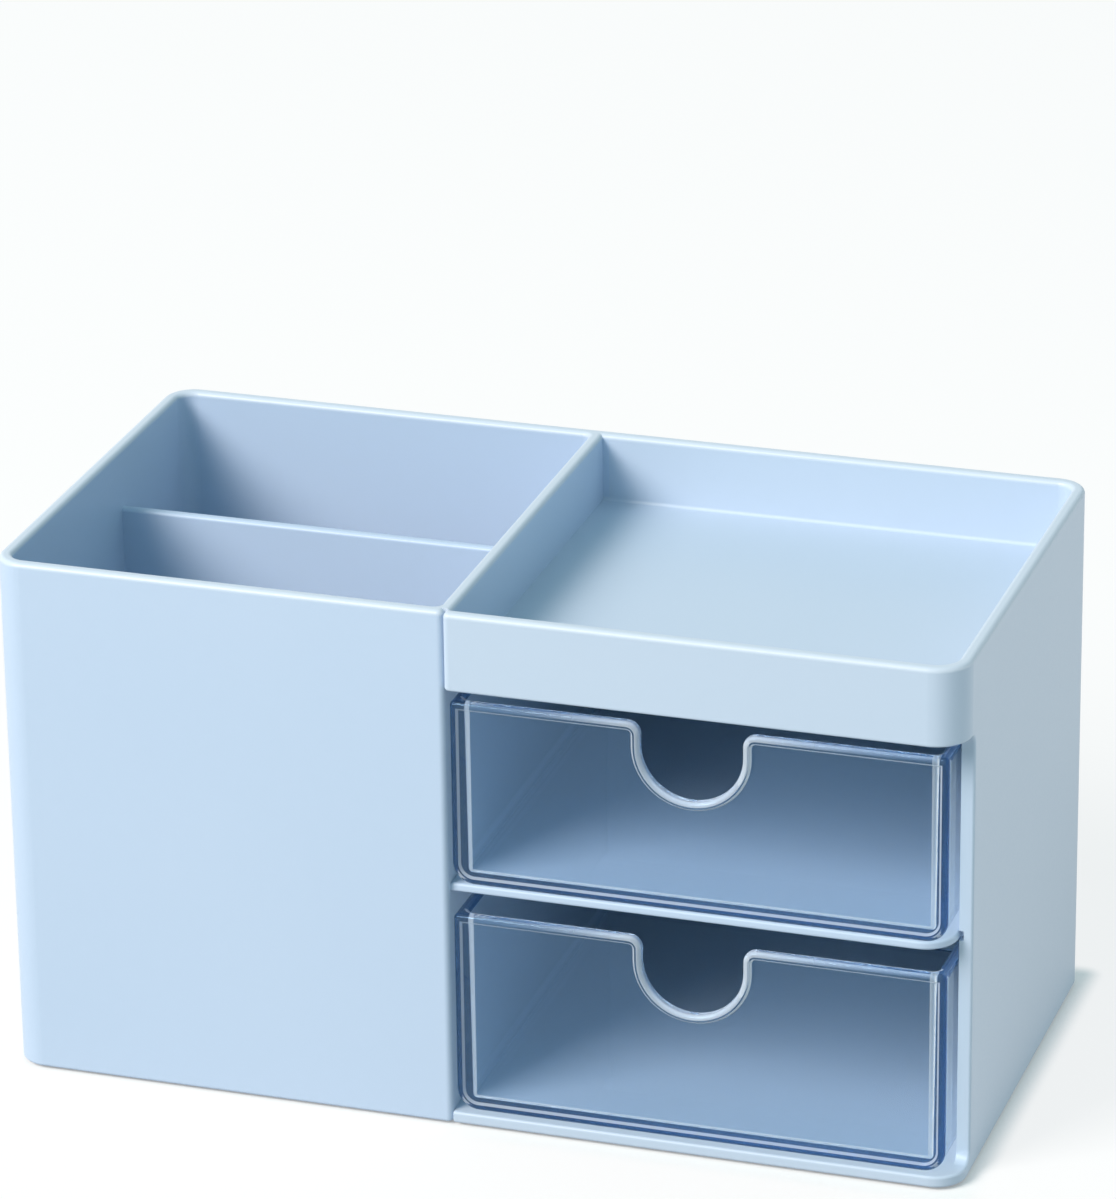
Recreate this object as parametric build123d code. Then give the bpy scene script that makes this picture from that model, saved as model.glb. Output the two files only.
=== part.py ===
from build123d import *
from math import radians, tan
import os

# Desktop drawer organizer: a cup module with a front and a rear well, joined side by side
# to a cabinet that has a tray on top and a bay with two clear drawers below.
# Millimetres, +X to the right, +Y to the back, +Z up.
# The origin is on the desk surface, in the middle of the footprint.

# Overall sizes
overall_width = 175.0
body_depth = 90.0
overall_height = 98.0
foot_stand = 0.5

# Moulded shells
wall = 2.4
floor_thickness = 2.2
corner_radius = 5.5
rim_round = 0.9
base_round = 0.6
mould_draft = 0.5

# Cup module
cup_width = 84.3
well_corner_radius = 1.4
well_floor_round = 1.2
front_well_depth = 53.1
divider_thickness = 2.0
divider_drop = 11.2
divider_round = 0.7

# Cabinet
rail_height = 14.4
rail_proud = 0.8
rail_end_round = 1.1
tray_floor_thickness = 1.6
tray_floor_round = 0.7
side_end_blend = 2.0
opening_round = 0.5

# Joint between the two modules
front_lap = 1.1
lap_gap = 0.15
panel_end_round = 1.1
rear_return = 1.2
seat_depth = 0.8
seat_step = 0.4
fit = 0.1
tongue_length = 1.2
tongue_thickness = 0.9
tongue_end_margin = 14.0

# Shelf between the drawers
shelf_thickness = 1.6
shelf_height = 45.9
shelf_edge_round = 0.5
shelf_seat_setback = 1.5

# Drawers
drawer_recess = 1.0
drawer_side_gap = 0.45
drawer_floor_gap = 0.25
drawer_rear_gap = 1.0
upper_drawer_headroom = 2.6
lower_drawer_headroom = 4.1
drawer_wall = 2.1
drawer_floor = 1.6
drawer_bottom_radius = 4.0
drawer_edge_share = 0.43
drawer_inner_radius = 1.2
drawer_inner_round = 0.8
front_border = 1.6
panel_sink = 0.4
panel_slope = 45.0
notch_width = 18.2
notch_depth = 13.6
notch_shoulder = 2.4
notch_shift = -1.0

# Feet
foot_radius = 4.5
foot_seat_depth = 0.8
foot_inset = 11.0
foot_edge_round = 0.25

# Working values for cuts and for finding edges
overrun = 3.0
touch = 0.01

# Planes of the whole body
left = -overall_width / 2
right = overall_width / 2
overall_depth = body_depth + rail_proud
rail_front = -overall_depth / 2
front = rail_front + rail_proud
rear = overall_depth / 2
inner_right = right - wall
inner_rear = rear - wall
base_z = foot_stand
base_top = base_z + floor_thickness
top_z = overall_height
inner_corner_radius = corner_radius - wall

# Planes of the cup module
mid_right = left + cup_width
mid_left = mid_right - wall
panel_end = mid_right - front_lap
lap_back = rail_front + wall
return_end = mid_right + rear_return
divider_front = front + wall + front_well_depth
divider_top = top_z - divider_drop

# Planes of the cabinet
rail_bottom = top_z - rail_height
tray_floor_top = rail_bottom + tray_floor_thickness
tray_lip_top = tray_floor_top - seat_step
rail_corner_radius = corner_radius + rail_proud
side_end = front + corner_radius + side_end_blend
bay_left = panel_end
bay_middle = (bay_left + inner_right) / 2
tongue_front = front + tongue_end_margin
tongue_rear = rear - tongue_end_margin
tongue_low = base_z + tongue_end_margin
tongue_high = top_z - tongue_end_margin

# Planes of the shelf and the drawers
shelf_top = base_z + shelf_height
shelf_bottom = shelf_top - shelf_thickness
shelf_rear = inner_rear - fit
drawer_left = bay_left + drawer_side_gap
drawer_right = inner_right - drawer_side_gap
drawer_front = front + drawer_recess
drawer_rear = inner_rear - drawer_rear_gap
drawer_edge_round = drawer_wall * drawer_edge_share
notch_x = bay_middle + notch_shift


def plan(x_min, x_max, y_min, y_max):
    """Flat rectangle between two corners."""
    middle = Pos((x_min + x_max) / 2, (y_min + y_max) / 2)
    return middle * Rectangle(x_max - x_min, y_max - y_min)


def round_corners(sketch, corners, radius):
    """Round the named corners of a flat outline."""
    chosen = [
        vertex
        for vertex in sketch.vertices()
        for x, y in corners
        if abs(vertex.X - x) < touch and abs(vertex.Y - y) < touch
    ]
    return fillet(chosen, radius)


def raise_plan(sketch, z_min, z_max):
    """Straight solid over a flat outline."""
    return extrude(Pos(0, 0, z_min) * sketch, amount=z_max - z_min)


def sink_plan(sketch, z_top, z_floor, floor_round):
    """Pocket that narrows by the mould's draft towards a floor with rounded edges."""
    pocket = extrude(Pos(0, 0, z_top) * sketch, amount=z_floor - z_top, taper=mould_draft)
    return fillet(pocket.edges().group_by(Axis.Z)[0], floor_round)


def block(x_min, x_max, y_min, y_max, z_min, z_max):
    """Rectangular solid between two corners."""
    return raise_plan(plan(x_min, x_max, y_min, y_max), z_min, z_max)


def level_edges(part, z):
    """Edges that lie on one level."""
    return part.edges().filter_by_position(Axis.Z, z - touch, z + touch)


def on_x(edge, x):
    return abs(edge.center().X - x) < touch


def on_y(edge, y):
    return abs(edge.center().Y - y) < touch


def outer_edges(part, z):
    """Edges on one level, without those on the seam between the two modules."""
    seam_x = (mid_right, return_end)
    return [
        edge
        for edge in level_edges(part, z)
        if not any(on_x(edge, x) for x in seam_x) and not on_y(edge, lap_back)
    ]


def foot_places():
    """Middle of each foot, by name."""
    places = {}
    for side, x in (("left", left + foot_inset), ("right", right - foot_inset)):
        for end, y in (("front", front + foot_inset), ("rear", rear - foot_inset)):
            places[f"foot_{end}_{side}"] = (x, y)
    return places


def foot_seats():
    """Shallow round recesses under the floors that take the feet."""
    seat = Cylinder(foot_radius + fit, foot_seat_depth, align=(Align.CENTER, Align.CENTER, Align.MIN))
    return [Pos(x, y, base_z) * seat for x, y in foot_places().values()]


def base_tongue(play):
    """Tongue along the cabinet's floor, or its groove when there is play."""
    middle = (base_z + base_top) / 2
    half = tongue_thickness / 2 + play
    return block(
        mid_right - tongue_length - play, mid_right,
        tongue_front - play, tongue_rear + play,
        middle - half, middle + half,
    )


def back_tongue(play):
    """Tongue up the cabinet's back wall, or its groove when there is play."""
    middle = (inner_rear + rear) / 2
    half = tongue_thickness / 2 + play
    return block(
        return_end - tongue_length - play, return_end,
        middle - half, middle + half,
        tongue_low - play, tongue_high + play,
    )


def make_cup_housing():
    """Open box with two wells; its right wall also closes the bay and the tray."""
    outline = plan(left, mid_right, front, rear)
    outline = round_corners(outline, [(left, front), (left, rear)], corner_radius)
    outline -= plan(panel_end, mid_right + overrun, front - overrun, lap_back)
    outline = round_corners(outline, [(panel_end, front)], panel_end_round)
    outline += plan(mid_right, return_end, inner_rear, rear)
    shell = raise_plan(outline, base_z, top_z)

    mouth = plan(left + wall, mid_left, front + wall, inner_rear)
    left_corners = [(left + wall, front + wall), (left + wall, inner_rear)]
    right_corners = [(mid_left, front + wall), (mid_left, inner_rear)]
    mouth = round_corners(mouth, left_corners, inner_corner_radius)
    mouth = round_corners(mouth, right_corners, well_corner_radius)
    shell -= sink_plan(mouth, top_z, base_top, well_floor_round)

    foot = base_top - floor_thickness / 2
    flare = (divider_top - foot) * tan(radians(mould_draft))
    divider_rear = divider_front + divider_thickness
    section = make_face(Polyline(
        (divider_front, divider_top),
        (divider_rear, divider_top),
        (divider_rear + flare, foot),
        (divider_front - flare, foot),
        close=True,
    ))
    section = round_corners(
        section, [(divider_front, divider_top), (divider_rear, divider_top)], divider_round
    )
    divider_left = left + wall / 2
    divider_right = mid_left + wall / 2
    shell += extrude(Plane.YZ.offset(divider_left) * section, amount=divider_right - divider_left)

    # The right wall is thinner beside the bay, and the tray floor's lip tucks under its step
    shell -= block(bay_left, mid_right, lap_back, inner_rear, base_top, tray_lip_top + fit)

    # Grooves that take the shelf and the cabinet's tongues
    groove = bay_left - seat_depth
    shell -= block(groove, bay_left, lap_back, inner_rear, shelf_bottom - fit, shelf_top + fit)
    shell -= [base_tongue(fit), back_tongue(fit)]

    rims = [e for e in level_edges(shell, top_z) if not on_x(e, return_end) and not on_y(e, lap_back)]
    shell = fillet(rims, rim_round)
    shell = fillet(outer_edges(shell, base_z), base_round)
    return shell - foot_seats()


def cabinet_plan(front_y, front_radius):
    """Outline of the cabinet at one level, lapped over the cup module's front edge."""
    outline = plan(panel_end + lap_gap, right, front_y, rear)
    outline = round_corners(outline, [(right, front_y)], front_radius)
    outline = round_corners(outline, [(right, rear)], corner_radius)
    outline -= plan(panel_end, mid_right, lap_back, rear + overrun)
    outline -= plan(panel_end, return_end, inner_rear, rear + overrun)
    return outline


def make_drawer_cabinet():
    """Base, right wall, back wall and tray in one shell, open at the front and the left."""
    rail_plan = cabinet_plan(rail_front, rail_corner_radius)
    rail_plan = round_corners(rail_plan, [(panel_end + lap_gap, rail_front)], rail_end_round)
    shell = raise_plan(cabinet_plan(front, corner_radius), base_z, rail_bottom)
    shell += raise_plan(rail_plan, rail_bottom, top_z)

    bay = plan(panel_end - overrun, inner_right, rail_front - overrun, inner_rear)
    bay = round_corners(bay, [(inner_right, inner_rear)], inner_corner_radius)
    shell -= raise_plan(bay, base_top, rail_bottom)

    # The right wall stops where the plan's corner starts, with its end blended up and down
    mouth = plan(rail_front - overrun, side_end, base_top, rail_bottom)
    mouth = round_corners(mouth, [(side_end, base_top), (side_end, rail_bottom)], side_end_blend)
    mouth_left = inner_right - overrun
    shell -= extrude(Plane.YZ.offset(mouth_left) * mouth, amount=right + overrun - mouth_left)

    tray = plan(panel_end - overrun, inner_right, lap_back, inner_rear)
    tray = round_corners(tray, [(inner_right, lap_back)], rail_corner_radius - wall)
    tray = round_corners(tray, [(inner_right, inner_rear)], inner_corner_radius)
    tray = raise_plan(tray, tray_floor_top, top_z)
    shell -= fillet(tray.edges().group_by(Axis.Z)[0], tray_floor_round)

    # Lip and tongues that seat in the cup module, and the shelf's groove in the right wall
    shell += block(bay_left + fit, mid_right, lap_back, inner_rear - fit, rail_bottom, tray_lip_top)
    shell += [base_tongue(0), back_tongue(0)]
    groove_rear = inner_rear - inner_corner_radius
    shell -= block(
        inner_right, inner_right + seat_depth,
        side_end - overrun, groove_rear,
        shelf_bottom - fit, shelf_top + fit,
    )

    rims = [edge for edge in level_edges(shell, top_z) if not on_x(edge, return_end)]
    shell = fillet(rims, rim_round)
    mouth_edges = [e for e in level_edges(shell, base_top) if on_y(e, front)]
    shell = fillet(mouth_edges, opening_round)
    shell = fillet(outer_edges(shell, base_z), base_round)
    return shell - foot_seats()


def make_mid_shelf():
    """Plate that slides in from the front and carries the upper drawer."""
    front_sweep = side_end - lap_back
    groove_rear = inner_rear - inner_corner_radius
    plate = plan(bay_left - seat_depth + fit, inner_right, lap_back, shelf_rear)
    plate = round_corners(plate, [(inner_right, lap_back)], front_sweep)
    plate = round_corners(plate, [(inner_right, shelf_rear)], inner_corner_radius)
    plate += plan(
        inner_right, inner_right + seat_depth - fit, side_end + shelf_seat_setback, groove_rear - fit
    )
    shelf = raise_plan(plate, shelf_bottom, shelf_top)
    return fillet([edge for edge in shelf.edges() if on_y(edge, lap_back)], shelf_edge_round)


def make_drawer(bottom, top):
    """Clear open box with a finger notch and a sunk panel in its front wall."""
    face = plan(drawer_left, drawer_right, bottom, top)
    face = round_corners(face, [(drawer_left, bottom), (drawer_right, bottom)], drawer_bottom_radius)
    tub = extrude(Plane.XZ.offset(-drawer_rear) * face, amount=drawer_rear - drawer_front)

    mouth = plan(
        drawer_left + drawer_wall, drawer_right - drawer_wall,
        drawer_front + drawer_wall, drawer_rear - drawer_wall,
    )
    mouth = fillet(mouth.vertices(), drawer_inner_radius)
    tub -= sink_plan(mouth, top, bottom + drawer_floor, drawer_inner_round)

    half = notch_width / 2
    notch_middle = top - notch_depth + half
    notch = plan(-half, half, notch_middle, top + overrun) + Pos(0, notch_middle) * Circle(half)
    shoulder_z = top - notch_shoulder
    for side in (-1, 1):
        outer = side * (half + notch_shoulder)
        shoulder = plan(min(side * half, outer), max(side * half, outer), shoulder_z, top)
        notch += shoulder - Pos(outer, shoulder_z) * Circle(notch_shoulder)
    notch = Pos(notch_x, 0) * notch
    notch_back = drawer_front + drawer_wall + overrun
    notch_plane = Plane.XZ.offset(-notch_back)
    cutter = extrude(notch_plane * notch, amount=drawer_wall + overrun * 2)
    tub -= cutter

    # One round follows the front and rear outlines, the rim and the notch
    rim = level_edges(tub, top)
    outlines = [e for e in tub.edges() if on_y(e, drawer_front) or on_y(e, drawer_rear)]
    tub = fillet(rim + outlines, drawer_edge_round)

    # Inside an even border the front face is sunk a little, with a sloping step
    panel = offset(face - notch, -front_border)
    panel_plane = Plane.XZ.offset(-drawer_front - panel_sink)
    return tub - extrude(panel_plane * panel, amount=panel_sink * 2, taper=-panel_slope)


def make_foot(x, y):
    """Soft round pad that stands a little proud of its recess."""
    pad = Cylinder(
        foot_radius, foot_stand + foot_seat_depth, align=(Align.CENTER, Align.CENTER, Align.MIN)
    )
    pad = fillet(pad.edges().group_by(Axis.Z)[0], foot_edge_round)
    return Pos(x, y, 0) * pad


pieces = {
    "cup_housing": make_cup_housing(),
    "drawer_cabinet": make_drawer_cabinet(),
    "mid_shelf": make_mid_shelf(),
}
upper_bottom = shelf_top + drawer_floor_gap
lower_bottom = base_top + drawer_floor_gap
pieces["upper_drawer"] = make_drawer(upper_bottom, rail_bottom - upper_drawer_headroom)
pieces["lower_drawer"] = make_drawer(lower_bottom, shelf_bottom - lower_drawer_headroom)
for name, (x, y) in foot_places().items():
    pieces[name] = make_foot(x, y)

os.makedirs("parts", exist_ok=True)
for name, piece in pieces.items():
    export_step(piece, f"parts/{name}.step")
    size = piece.bounding_box().size
    print(f"{name}: {len(piece.solids())} solid, {size.X:.1f} x {size.Y:.1f} x {size.Z:.1f} mm")
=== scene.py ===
# %% [markdown]
# # A desk organizer in satin blue and clear plastic
# The measured solids come in from the imported frame, in metres: a cup module, a cabinet with
# a tray on top, a shelf, two clear drawers and four feet. This lesson sets up the camera and
# the light, gives every piece its finish, marks the drawers' polished edges for painted highlights
# and makes the feet again with Geometry Nodes. The box of the solids is kept first, because the
# floor and the finishes are measured from it. The box of the solids is kept first, because the
# dressed model must not grow past it.

# %% Load the frame
import math
import bmesh
import bpy
from mathutils import Matrix, Vector


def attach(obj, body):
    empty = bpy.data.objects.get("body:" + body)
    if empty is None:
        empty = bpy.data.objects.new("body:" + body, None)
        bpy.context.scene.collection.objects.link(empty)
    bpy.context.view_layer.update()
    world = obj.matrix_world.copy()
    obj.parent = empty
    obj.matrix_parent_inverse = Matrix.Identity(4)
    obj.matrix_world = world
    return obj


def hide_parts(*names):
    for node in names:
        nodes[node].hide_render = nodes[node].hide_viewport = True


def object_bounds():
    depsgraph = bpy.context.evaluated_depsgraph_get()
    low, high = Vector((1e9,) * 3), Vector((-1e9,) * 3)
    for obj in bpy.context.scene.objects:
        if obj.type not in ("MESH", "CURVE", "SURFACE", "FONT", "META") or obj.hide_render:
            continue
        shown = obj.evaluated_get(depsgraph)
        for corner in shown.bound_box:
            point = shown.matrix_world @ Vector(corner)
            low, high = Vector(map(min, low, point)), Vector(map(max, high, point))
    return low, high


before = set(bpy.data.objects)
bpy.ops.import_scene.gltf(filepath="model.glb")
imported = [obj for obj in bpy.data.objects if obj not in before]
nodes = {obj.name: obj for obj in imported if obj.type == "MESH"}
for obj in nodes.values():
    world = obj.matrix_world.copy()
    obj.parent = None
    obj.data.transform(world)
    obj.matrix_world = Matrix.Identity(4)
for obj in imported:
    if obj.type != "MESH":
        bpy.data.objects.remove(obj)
cad_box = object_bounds()
print("solids:", ", ".join(sorted(nodes)))

# %% [markdown]
# ## The camera
# The picture was taken with a long lens, from a little right of the front and above. A long
# lens keeps upright edges nearly parallel. The angles and the distance below come from fitting
# a pinhole camera to the straight edges of the body, so the outline falls where it should.
# A tracked empty could aim the camera too, but a matrix also holds the slight roll.

# %% Camera
view_azimuth = math.radians(18.12)
view_elevation = math.radians(22.53)
view_roll = math.radians(-0.77)
camera_place = Vector((0.3222, -0.9788, 0.5104))

camera_data = bpy.data.cameras.new("camera")
camera_data.lens = 189.2
camera_data.sensor_width = 36.0
camera_data.clip_start = 0.01
camera = bpy.data.objects.new("camera", camera_data)
bpy.context.scene.collection.objects.link(camera)

towards_camera = Vector((
    math.sin(view_azimuth) * math.cos(view_elevation),
    -math.cos(view_azimuth) * math.cos(view_elevation),
    math.sin(view_elevation),
))
level_right = Vector((0, 0, 1)).cross(towards_camera).normalized()
level_up = towards_camera.cross(level_right)
right = math.cos(view_roll) * level_right + math.sin(view_roll) * level_up
up = math.cos(view_roll) * level_up - math.sin(view_roll) * level_right
turn = Matrix((right, up, towards_camera)).transposed().to_4x4()
camera.matrix_world = Matrix.Translation(camera_place) @ turn
bpy.context.scene.camera = camera
print("camera distance:", round(camera_place.length, 3), "m")

# %% [markdown]
# ## Node helpers
# Every finish below is a tree of nodes, and so is every recipe for a mesh. A few small functions
# keep those trees readable: one adds a node and fills its inputs, and the others add the kinds
# that come back again and again.

# %% Node helpers
def link(tree, from_socket, to_socket):
    tree.links.new(from_socket, to_socket)


def add(tree, kind, values=None, **settings):
    """New node with its settings, and with links or plain values on its inputs."""
    node = tree.nodes.new(kind)
    for label, value in settings.items():
        setattr(node, label, value)
    for key, value in (values or {}).items():
        if isinstance(value, bpy.types.NodeSocket):
            link(tree, value, node.inputs[key])
        else:
            node.inputs[key].default_value = value
    return node


def maths(tree, operation, first, second):
    return add(tree, "ShaderNodeMath", {0: first, 1: second}, operation=operation).outputs[0]


def vector_maths(tree, operation, *vectors):
    """Node that works on vectors. LENGTH gives its result on the output named Value."""
    return add(tree, "ShaderNodeVectorMath", dict(enumerate(vectors)), operation=operation).outputs


def apart(tree, vector):
    """The three parts of a vector."""
    return add(tree, "ShaderNodeSeparateXYZ", {0: vector}).outputs


def ramp(tree, value, span, results, interpolation="LINEAR"):
    """Value that goes from one result to another while the input crosses a span."""
    node = add(
        tree, "ShaderNodeMapRange",
        {
            "Value": value, "From Min": span[0], "From Max": span[1],
            "To Min": results[0], "To Max": results[1],
        },
        interpolation_type=interpolation,
    )
    return node.outputs["Result"]


def between(tree, factor, *ends):
    """Colour that goes with a factor from one end to another, each a plain colour or a socket."""
    first, second = [end if isinstance(end, bpy.types.NodeSocket) else (*end, 1) for end in ends]
    # The mix node has sockets of several types under one name, so the colour ones go by number
    mix = add(tree, "ShaderNodeMix", {"Factor": factor, 6: first, 7: second}, data_type="RGBA")
    return mix.outputs[2]


def blended(tree, factor, first, second):
    """Shader that goes with a factor from one shader node to another."""
    shaders = {0: factor, 1: first.outputs[0], 2: second.outputs[0]}
    return add(tree, "ShaderNodeMixShader", shaders)


# %% [markdown]
# ## The stage
# A product picture on white needs a floor that reads as white and still catches a soft shadow.
# The floor is matt, and what the eye sees of it is mostly a white light of its own, so it stays
# white without more light falling on the object. Other rays meet a mid grey floor, or the white
# would throw too much light back up at the undersides. The surroundings work the same way: they
# are white to the eye and a weak blue light to all other rays. Close round the object the white
# light of the floor fades, so the thin line of shade where a thing stands on a table stays dark.

# %% Floor and surroundings
half_width = 3.0
grey_floor = (0.5, 0.5, 0.5)
warm_white = (1, 0.98, 0.96)
fade_reach = 0.0045
glow_close = 0.25
glow_far = 0.8
sky_colour = (0.57, 0.92, 1.0, 1)
sky_strength = 0.46


def seen_directly(tree):
    """1 for rays from the eye to the background, also by way of gloss and clear plastic."""
    path = tree.nodes.new("ShaderNodeLightPath")
    total = path.outputs["Is Camera Ray"]
    for name in ("Is Glossy Ray", "Is Transmission Ray"):
        total = maths(tree, "MAXIMUM", total, path.outputs[name])
    return total


floor_mesh = bpy.data.meshes.new("floor")
floor_corners = [
    (-half_width, -half_width, 0), (half_width, -half_width, 0),
    (half_width, half_width, 0), (-half_width, half_width, 0),
]
floor_mesh.from_pydata(floor_corners, [], [(0, 1, 2, 3)])
floor = bpy.data.objects.new("floor", floor_mesh)
bpy.context.scene.collection.objects.link(floor)

paper = bpy.data.materials.new("white_paper")
paper.use_nodes = True
tree = paper.node_tree
tree.nodes.clear()
seen = seen_directly(tree)
matt = add(tree, "ShaderNodeBsdfDiffuse", {"Color": between(tree, seen, grey_floor, warm_white)})
glow = add(tree, "ShaderNodeEmission", {"Strength": 1.0})

# Distance from the footprint, which lies evenly round the origin
spot = tree.nodes.new("ShaderNodeTexCoord").outputs["Object"]
spot = vector_maths(tree, "ABSOLUTE", spot)[0]
spot = vector_maths(tree, "SUBTRACT", spot, (cad_box[1][0], cad_box[1][1], 0))[0]
spot = vector_maths(tree, "MAXIMUM", spot, (0, 0, 0))[0]
away = vector_maths(tree, "LENGTH", spot)["Value"]
fade = ramp(tree, away, (0, fade_reach), (glow_close, glow_far), "SMOOTHSTEP")
surface = blended(tree, maths(tree, "MULTIPLY", seen, fade), matt, glow)
add(tree, "ShaderNodeOutputMaterial", {"Surface": surface.outputs[0]})
floor_mesh.materials.append(paper)

world = bpy.data.worlds.new("studio")
bpy.context.scene.world = world
world.use_nodes = True
tree = world.node_tree
tree.nodes.clear()
soft = add(tree, "ShaderNodeBackground", {"Color": sky_colour, "Strength": sky_strength})
white = add(tree, "ShaderNodeBackground", {"Color": (1, 1, 1, 1), "Strength": 1.0})
surface = blended(tree, seen_directly(tree), soft, white)
add(tree, "ShaderNodeOutputWorld", {"Surface": surface.outputs[0]})
bpy.context.scene.view_settings.view_transform = "Standard"
print("floor:", 2 * half_width, "m wide")

# %% [markdown]
# ## The lamps
# One large soft lamp stands at the front left and above, so the front and the rims are bright
# and the shadow falls softly to the right and the back. A weak low lamp lifts the right side.
# It reaches hardly higher than the rim, so the insides of the wells stay in their own shade.

# %% Lamps
def soft_lamp(name, place, aim, width, height, power, colour):
    """Flat lamp that points from one place to another."""
    lamp_data = bpy.data.lights.new(name, "AREA")
    lamp_data.shape = "RECTANGLE"
    lamp_data.size = width
    lamp_data.size_y = height
    lamp_data.energy = power
    lamp_data.color = colour
    lamp = bpy.data.objects.new(name, lamp_data)
    bpy.context.scene.collection.objects.link(lamp)
    lamp.location = place
    lamp.rotation_euler = (Vector(aim) - Vector(place)).to_track_quat("-Z", "Y").to_euler()
    print(name, "at", round(Vector(place).length, 2), "m,", power, "W")


body_middle = (0, 0, 0.05)
soft_lamp(
    "key_lamp", place=(-1.58, -2.02, 2.08), aim=body_middle,
    width=1.6, height=1.6, power=117.0, colour=(1.0, 0.935, 0.89),
)
soft_lamp(
    "low_lamp", place=(1.40, 0.40, 0.06), aim=body_middle,
    width=1.2, height=0.12, power=4.5, colour=(1.0, 0.91, 0.87),
)

# %% [markdown]
# ## Satin blue plastic
# The shells are injection moulded in a steel mould whose face is finely blasted, so the plastic
# is satin: broad soft highlights, a very fine grain, and a colour that drifts a little where the
# wall was filled. Noise on Object coordinates gives all three without any picture, and it runs
# on from one shell to the next because all the pieces share one frame. The cabinet comes from
# another mould than the cup module. Its tint is a touch paler, a painted lightening for the
# brighter light on its front rail, so the recipe is a function of the tints. The rims catch more
# light than the walls below them, so a painted highlight pales the tint over the last millimetre.

# %% Blue plastic
# Most of a noise lies in the middle of its range, so that part is stretched over the result
noise_middle = (0.3, 0.7)

# Depths below the top edge at which the painted rim highlight starts and is full
top_height = cad_box[1][2]
highlight_start_depth = 0.0011
highlight_full_depth = 0.0004
# Tint of the painted rim highlight
painted_rim_highlight = (0.62, 0.69, 0.79)


def noise(tree, coordinates, scale, detail):
    values = {"Vector": coordinates, "Scale": scale, "Detail": detail}
    return add(tree, "ShaderNodeTexNoise", values).outputs["Fac"]


def grain(tree, shader, height, distance, strength):
    values = {"Height": height, "Distance": distance, "Strength": strength}
    bump = add(tree, "ShaderNodeBump", values)
    link(tree, bump.outputs["Normal"], shader.inputs["Normal"])


def new_finish(name):
    """Material with its node tree, its main shader and its Object coordinates."""
    finish = bpy.data.materials.new(name)
    finish.use_nodes = True
    tree = finish.node_tree
    place = tree.nodes.new("ShaderNodeTexCoord").outputs["Object"]
    return finish, tree, tree.nodes["Principled BSDF"], place


def satin_plastic(name, low, high):
    """Satin finish whose colour drifts between two tints, with a painted highlight paler on the
    rims.
    """
    finish, tree, shader, place = new_finish(name)
    drift = noise(tree, place, scale=18.0, detail=2.0)
    highlight_span = (top_height - highlight_start_depth, top_height - highlight_full_depth)
    # Painted highlight: the tint pales towards the top edge of every shell
    rim_highlight_mask = ramp(tree, apart(tree, place)[2], highlight_span, (0, 1), "SMOOTHSTEP")
    tint = between(tree, rim_highlight_mask, between(tree, drift, low, high), painted_rim_highlight)
    link(tree, tint, shader.inputs["Base Color"])
    blast = noise(tree, place, scale=2600.0, detail=2.0)
    roughness = ramp(tree, blast, noise_middle, results=(0.30, 0.38))
    link(tree, roughness, shader.inputs["Roughness"])
    grain(tree, shader, blast, distance=0.00004, strength=0.25)
    shader.inputs["IOR"].default_value = 1.49
    shader.inputs["Specular IOR Level"].default_value = 0.4
    return finish


blue_plastic = satin_plastic(
    "satin_blue_plastic", low=(0.518, 0.630, 0.793), high=(0.548, 0.654, 0.813)
)
# The cabinet's paler tints paint in the brighter light that falls on its front rail
painted_lighter_plastic = satin_plastic(
    "satin_blue_plastic_painted_lighter", low=(0.543, 0.641, 0.774), high=(0.573, 0.665, 0.794)
)
print("finishes:", blue_plastic.name, "and", painted_lighter_plastic.name)

# %% [markdown]
# ## Clear plastic
# The drawers are moulded from clear polystyrene in a polished mould, so their faces are like
# glass. Seen from its edge a clear sheet looks deep blue, because the light there has bounced
# along inside it. A small share of painted blue haze stands in for that light: one pass hardly
# shows it, but every bounce picks up more. Two attributes that are made below help it. One gives
# polished rims and steps, which catch light, a paler and stronger haze, a painted highlight. The
# other paints a deep blue on the outer border of the front, where the eye looks into the edges of
# the walls. Shadow rays and diffuse rays go straight through, which keeps the inside of the bay
# lit. The other way is to trace caustics, which is slow and noisy.

# %% Clear plastic finish
clear_low = (0.90, 0.95, 0.985)
clear_high = (0.93, 0.965, 0.99)
# Painted colours: a deep blue on the front's border, a blue haze for the light bounced inside the
# walls and a pale highlight on polished edges
painted_border_blue = (0.26, 0.54, 0.95)
painted_blue_haze = (0.17, 0.40, 0.86)
painted_edge_highlight = (0.80, 0.86, 0.96)
painted_haze_shares = (0.045, 0.42)
passing_tint = (0.965, 0.98, 0.99, 1)

clear_plastic, tree, shader, place = new_finish("clear_plastic")
flow = noise(tree, place, scale=30.0, detail=2.0)
# Painted deep blue on the front's border, for the light seen along the walls' edges
painted_border_mask = add(tree, "ShaderNodeAttribute", attribute_name="painted_deep_border").outputs["Fac"]
tint = between(tree, painted_border_mask, between(tree, flow, clear_low, clear_high), painted_border_blue)
link(tree, tint, shader.inputs["Base Color"])
wipe = noise(tree, place, scale=900.0, detail=3.0)
roughness = ramp(tree, wipe, noise_middle, results=(0.0, 0.03))
link(tree, roughness, shader.inputs["Roughness"])
shader.inputs["Transmission Weight"].default_value = 1.0
shader.inputs["Specular Tint"].default_value = (0.45, 0.65, 0.80, 1)
shader.inputs["IOR"].default_value = 1.50

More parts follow.
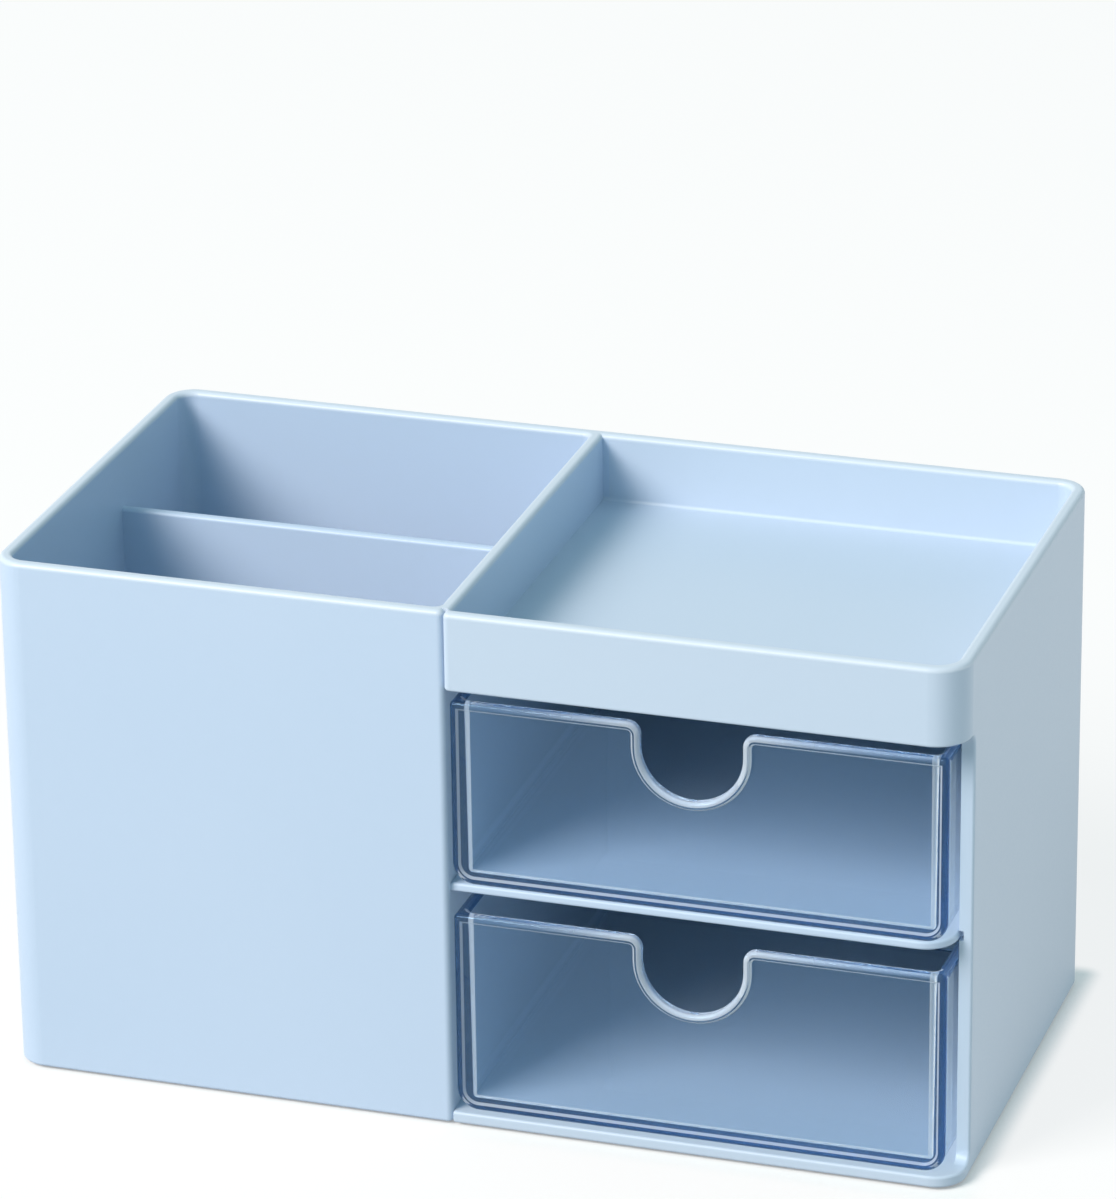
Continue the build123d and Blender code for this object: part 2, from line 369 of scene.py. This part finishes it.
# The pale haze on marked edges is a painted highlight
highlight_mask = add(tree, "ShaderNodeAttribute", attribute_name="painted_highlight_line").outputs["Fac"]
painted_haze = add(tree, "ShaderNodeBsdfDiffuse", {"Color": between(tree, highlight_mask, painted_blue_haze, painted_edge_highlight)})
glass_with_painted_haze = blended(tree, ramp(tree, highlight_mask, (0, 1), painted_haze_shares), shader, painted_haze)
path = tree.nodes.new("ShaderNodeLightPath")
passing = maths(tree, "MAXIMUM", path.outputs["Is Shadow Ray"], path.outputs["Is Diffuse Ray"])
through = add(tree, "ShaderNodeBsdfTransparent", {"Color": passing_tint})
surface = blended(tree, passing, glass_with_painted_haze, through)
link(tree, surface.outputs[0], tree.nodes["Material Output"].inputs["Surface"])

# Light inside a wall bounces many times before it leaves, and a short path would end in black
bpy.context.scene.cycles.max_bounces = 128
bpy.context.scene.cycles.transmission_bounces = 96
bpy.context.scene.cycles.glossy_bounces = 96
print("finish:", clear_plastic.name)

# %% [markdown]
# ## Foot rubber
# The feet are soft pads punched from a grey sheet. Rubber is matt and slightly speckled, so one
# fine noise drives its colour, its roughness and a shallow bump. With this the last finish is
# there, and every solid gets the one that belongs to its slot.

# %% Foot rubber finish
rubber_low = (0.42, 0.47, 0.52)
rubber_high = (0.52, 0.57, 0.62)

foot_rubber, tree, shader, place = new_finish("foot_rubber")
speck = noise(tree, place, scale=3500.0, detail=3.0)
link(tree, between(tree, speck, rubber_low, rubber_high), shader.inputs["Base Color"])
roughness = ramp(tree, speck, noise_middle, results=(0.7, 0.85))
link(tree, roughness, shader.inputs["Roughness"])
grain(tree, shader, speck, distance=0.00005, strength=0.4)

finishes = {
    "blue_plastic": blue_plastic, "clear_plastic": clear_plastic, "foot_rubber": foot_rubber,
}
for node in nodes.values():
    node.data.materials[0] = finishes[node.data.materials[0].name]
# The cabinet gets the paler tints, painted light for its brighter rail
nodes["drawer_cabinet"].data.materials[0] = painted_lighter_plastic
print("dressed", len(nodes), "solids")

# %% [markdown]
# ## Trees that make meshes
# A Geometry Nodes tree is a recipe with named inputs, so the same recipe serves pieces of
# different sizes. A tree runs once for each piece, and its result is kept as a plain mesh, because
# a finished piece should not depend on anything that is still live.

# %% Geometry Nodes helpers
weld_distance = 0.000001


def new_tree(name, inputs):
    """Tree with a geometry output and named inputs of the given socket types."""
    tree = bpy.data.node_groups.new(name, "GeometryNodeTree")
    tree.interface.new_socket("Geometry", in_out="OUTPUT", socket_type="NodeSocketGeometry")
    for label, kind in inputs.items():
        tree.interface.new_socket(label, in_out="INPUT", socket_type="NodeSocket" + kind)
    return tree, tree.nodes.new("NodeGroupInput").outputs


def close_tree(tree, geometry, finish):
    """End a tree with real geometry in one finish."""
    real = add(tree, "GeometryNodeRealizeInstances", {0: geometry})
    dressed = add(tree, "GeometryNodeSetMaterial", {0: real.outputs[0], "Material": finish})
    add(tree, "NodeGroupOutput", {0: dressed.outputs[0]})


def run_tree(tree, name, mesh, values):
    """Run a tree on a mesh and return the result as a plain piece."""
    source = bpy.data.objects.new(name + "_source", mesh)
    bpy.context.scene.collection.objects.link(source)
    modifier = source.modifiers.new("nodes", "NODES")
    modifier.node_group = tree
    for item in tree.interface.items_tree:
        if item.name in values:
            modifier[item.identifier] = values[item.name]
    evaluated = source.evaluated_get(bpy.context.evaluated_depsgraph_get())
    result = bpy.data.meshes.new_from_object(evaluated)
    source.modifiers.clear()
    bpy.data.objects.remove(source)
    piece = bpy.data.objects.new(name, result)
    bpy.context.scene.collection.objects.link(piece)
    return piece


def box_of(mesh):
    """Lowest and highest corner of a mesh."""
    spots = [vertex.co for vertex in mesh.vertices]
    low = Vector([min(spot[axis] for spot in spots) for axis in range(3)])
    high = Vector([max(spot[axis] for spot in spots) for axis in range(3)])
    return low, high


# %% [markdown]
# ## Painted highlights on the drawers' polished edges
# Round edges and sloping steps catch the light as thin bright lines along the rim, the finger
# notch and the border of the front, and a painted highlight is laid on them. They are found by a
# rule: a corner of the mesh is on an edge when its normal points along none of the three axes. A
# box inside the outline keeps the painted highlight to the front wall, because the outer edges
# stay deep blue. Those get a mark of their own, a painted deep blue, on whole faces: all of the
# front wall that lies outside the panel and leans towards the front or the back. Painting by hand
# would work too, but it would have to be done again for each drawer.

# %% Tree that marks edges
mark_tree, given = new_tree("mark_edges", {
    "Mesh": "Geometry", "Flatness": "Float", "Lean": "Float", "Low": "Vector", "High": "Vector",
    "Panel Low": "Vector", "Panel High": "Vector", "Finish": "Material",
})
normal = mark_tree.nodes.new("GeometryNodeInputNormal").outputs[0]
parts = apart(mark_tree, vector_maths(mark_tree, "ABSOLUTE", normal)[0])
largest = maths(mark_tree, "MAXIMUM", maths(mark_tree, "MAXIMUM", parts[0], parts[1]), parts[2])
tilted = maths(mark_tree, "LESS_THAN", largest, given["Flatness"])
leaning = maths(mark_tree, "GREATER_THAN", parts[1], given["Lean"])
where = apart(mark_tree, mark_tree.nodes.new("GeometryNodeInputPosition").outputs[0])


def within(low, high):
    """1 for places inside a box."""
    total = 1.0
    for bound, operation in ((low, "GREATER_THAN"), (high, "LESS_THAN")):
        limit = apart(mark_tree, given[bound])
        for axis in range(3):
            inside = maths(mark_tree, operation, where[axis], limit[axis])
            total = maths(mark_tree, "MULTIPLY", total, inside)
    return total


def stored(geometry, name, value, domain):
    """Geometry with a value written on it under a name."""
    node = add(
        mark_tree, "GeometryNodeStoreNamedAttribute",
        {"Geometry": geometry, "Name": name, "Value": value}, data_type="FLOAT", domain=domain,
    )
    return node.outputs[0]


# Painted highlight on tilted corners inside the box
painted_highlight_mask = maths(mark_tree, "MULTIPLY", tilted, within("Low", "High"))
off_panel = maths(mark_tree, "SUBTRACT", 1.0, within("Panel Low", "Panel High"))
in_front = maths(mark_tree, "LESS_THAN", where[1], apart(mark_tree, given["High"])[1])
# Painted deep blue on the border faces of the front wall
painted_border_faces = maths(mark_tree, "MULTIPLY", maths(mark_tree, "MULTIPLY", off_panel, in_front), leaning)
marked_mesh = stored(given["Mesh"], "painted_highlight_line", painted_highlight_mask, "CORNER")
marked_mesh = stored(marked_mesh, "painted_deep_border", painted_border_faces, "FACE")
close_tree(mark_tree, marked_mesh, given["Finish"])

# %% [markdown]
# ## The marked drawers
# Neighbouring faces of a solid come in with corners of their own, so a drawer's mesh is welded
# first. A triangle that is thinner than the weld falls away with it. The exact normals of the
# solid are kept for all the other triangles, because they tell a round edge from a flat face.

# %% Marked drawers
def welded_copy(node):
    """Copy of a solid's mesh with shared corners merged and its exact normals kept."""
    mesh = node.data.copy()
    normals = [tuple(corner.vector) for corner in mesh.corner_normals]
    shape = bmesh.new()
    shape.from_mesh(mesh)
    same = bmesh.ops.find_doubles(shape, verts=shape.verts, dist=weld_distance)["targetmap"]
    kept_normals = []
    for face in shape.faces:
        count = len(face.verts)
        if len({same.get(vertex, vertex) for vertex in face.verts}) == count:
            kept_normals += normals[count * face.index:count * (face.index + 1)]
    bmesh.ops.weld_verts(shape, targetmap=same)
    shape.to_mesh(mesh)
    shape.free()
    mesh.normals_split_custom_set(kept_normals)
    return mesh


# A face is flat when its normal is within about three degrees of an axis, and it leans when its
# normal turns about three degrees or more towards the front or the back
flatness = 0.9986
lean = 0.05
inside_outline = 0.0011
front_wall = 0.0030
border_width = 0.00165
for name in ("upper_drawer", "lower_drawer"):
    mesh = welded_copy(nodes[name])
    low, high = box_of(mesh)
    piece = run_tree(mark_tree, name + "_clear", mesh, {
        "Flatness": flatness,
        "Lean": lean,
        "Low": (low.x + inside_outline, low.y - inside_outline, low.z + inside_outline),
        "High": (high.x - inside_outline, low.y + front_wall, high.z + inside_outline),
        "Panel Low": (low.x + border_width, low.y - border_width, low.z + border_width),
        "Panel High": (high.x - border_width, high.y + border_width, high.z + border_width),
        "Finish": clear_plastic,
    })
    marked = sum(corner.value == 1.0 for corner in piece.data.attributes["painted_highlight_line"].data)
    print(name, "has", len(piece.data.loops), "corners,", marked, "of them on bright edges")
    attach(piece, name)
    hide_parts(name)

# %% [markdown]
# ## The feet
# Four equal pads stand in recesses under the floors. Anti-slip pads have rows of low knobs
# underneath, which grip a desk better than a flat face. One pad is a disc that is extruded with a
# small chamfer, and the knobs are instances on a grid that is trimmed to the disc. The pad is then
# an instance on the four corners of a larger grid.

# %% Tree that makes the feet
disc_points = 64
knob_rows = 7

feet_tree, given = new_tree("feet", {
    "Middle": "Vector", "Across": "Float", "Along": "Float", "Radius": "Float", "Height": "Float",
    "Chamfer": "Float", "Knob Radius": "Float", "Knob Height": "Float", "Knob Pitch": "Float",
    "Finish": "Material",
})


def lift(height):
    return add(feet_tree, "ShaderNodeCombineXYZ", {2: height}).outputs[0]


def moved(geometry, offset):
    return add(feet_tree, "GeometryNodeTransform", {0: geometry, "Translation": offset}).outputs[0]


def extruded(geometry, height, faces=True):
    """Extrude the given faces straight up and return the geometry and the new top."""
    node = add(
        feet_tree, "GeometryNodeExtrudeMesh",
        {
            "Mesh": geometry, "Selection": faces, "Offset": lift(height),
            "Offset Scale": 1.0, "Individual": False,
        },
        mode="FACES",
    )
    return node.outputs["Mesh"], node.outputs["Top"]


def grid(width, depth, count):
    """Flat grid with the same count of points both ways."""
    values = {"Size X": width, "Size Y": depth, "Vertices X": count, "Vertices Y": count}
    return add(feet_tree, "GeometryNodeMeshGrid", values).outputs[0]


def copies(points, instance):
    values = {"Points": points, "Instance": instance}
    return add(feet_tree, "GeometryNodeInstanceOnPoints", values).outputs[0]


sole_radius = maths(feet_tree, "SUBTRACT", given["Radius"], given["Chamfer"])
disc = add(
    feet_tree, "GeometryNodeMeshCircle", {"Vertices": disc_points, "Radius": sole_radius},
    fill_type="NGON",
)
sole = moved(disc.outputs[0], lift(given["Knob Height"]))
pad, top = extruded(sole, given["Chamfer"])
widening = maths(feet_tree, "DIVIDE", given["Radius"], sole_radius)
pad = add(
    feet_tree, "GeometryNodeScaleElements", {0: pad, "Selection": top, "Scale": widening}
).outputs[0]
side = maths(feet_tree, "SUBTRACT", given["Height"], given["Chamfer"])
side = maths(feet_tree, "SUBTRACT", side, given["Knob Height"])
pad, top = extruded(pad, side, top)
bottom = add(feet_tree, "GeometryNodeFlipFaces", {0: sole}).outputs[0]

row = maths(feet_tree, "MULTIPLY", given["Knob Pitch"], knob_rows - 1)
spot = feet_tree.nodes.new("GeometryNodeInputPosition").outputs[0]
reach = vector_maths(feet_tree, "LENGTH", spot)["Value"]
margin = maths(feet_tree, "SUBTRACT", sole_radius, given["Knob Radius"])
outside = maths(feet_tree, "GREATER_THAN", reach, margin)
trimmed = add(
    feet_tree, "GeometryNodeDeleteGeometry",
    {0: grid(row, row, knob_rows), "Selection": outside}, domain="POINT",
)
knob = add(
    feet_tree, "GeometryNodeMeshIcoSphere", {"Radius": given["Knob Radius"], "Subdivisions": 2}
)
knobs = copies(moved(trimmed.outputs[0], lift(given["Knob Radius"])), knob.outputs[0])

foot = feet_tree.nodes.new("GeometryNodeJoinGeometry")
for geometry in (pad, bottom, knobs):
    link(feet_tree, geometry, foot.inputs[0])
corners = grid(given["Across"], given["Along"], 2)
feet = copies(moved(corners, given["Middle"]), foot.outputs[0])
joined = add(feet_tree, "GeometryNodeRealizeInstances", {0: feet})
welded = add(
    feet_tree, "GeometryNodeMergeByDistance", {0: joined.outputs[0], "Distance": weld_distance}
)
close_tree(feet_tree, welded.outputs[0], given["Finish"])

# %% [markdown]
# ## The four feet
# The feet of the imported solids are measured, and the tree gets their places and sizes. The knobs
# end at the level where the solids stand on the desk, so the organizer keeps its height.

# %% Feet
foot_names = sorted(name for name in nodes if name.startswith("foot_"))
boxes = [box_of(nodes[name].data) for name in foot_names]
middles = [(low + high) / 2 for low, high in boxes]
low, high = boxes[0]
xs = [middle.x for middle in middles]
ys = [middle.y for middle in middles]
feet_piece = run_tree(feet_tree, "feet", bpy.data.meshes.new("feet_start"), {
    "Middle": ((min(xs) + max(xs)) / 2, (min(ys) + max(ys)) / 2, 0.0),
    "Across": max(xs) - min(xs),
    "Along": max(ys) - min(ys),
    "Radius": (high.x - low.x) / 2,
    "Height": high.z - low.z,
    "Chamfer": 0.00025,
    "Knob Radius": 0.0004,
    "Knob Height": 0.00012,
    "Knob Pitch": 0.0012,
    "Finish": foot_rubber,
})
lowest = box_of(feet_piece.data)[0].z
print("feet:", len(feet_piece.data.polygons), "faces, lowest", round(lowest, 6))
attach(feet_piece, "housing")
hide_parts(*foot_names)
